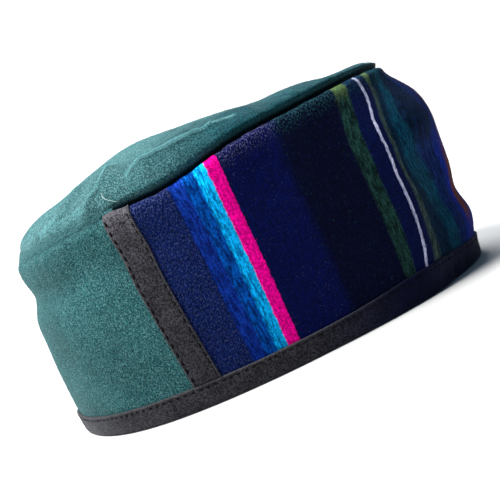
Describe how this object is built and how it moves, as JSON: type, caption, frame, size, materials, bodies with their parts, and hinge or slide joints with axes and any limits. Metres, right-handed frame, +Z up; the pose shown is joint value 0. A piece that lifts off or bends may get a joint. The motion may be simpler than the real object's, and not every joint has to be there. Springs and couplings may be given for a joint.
{
  "type": "beanie",
  "caption": "Soft unlined wool beanie of pillbox shape, with a sloping top, a striped front band and a bound hem.",
  "frame": {"origin": "middle of the cap's outline at the flat foot of its hem", "axes": "+Z up through the crown, -Y out of the front, -X out of the wearer's right side; the longest extent is along Y and the shortest along Z"},
  "size_m": [0.161, 0.2099, 0.1138],
  "materials": {
    "green_wool": "matt felted wool with a short nap",
    "striped_wool": "matt brushed blanket wool with woven stripes",
    "tape_cloth": "matt felted binding cloth"
  },
  "bodies": {
    "root": {"crown": "green_wool", "front_panel": "striped_wool", "back_panel": "green_wool", "seam_tape_right": "tape_cloth", "seam_tape_left": "tape_cloth", "hem_binding": "tape_cloth"}
  },
  "joints": []
}
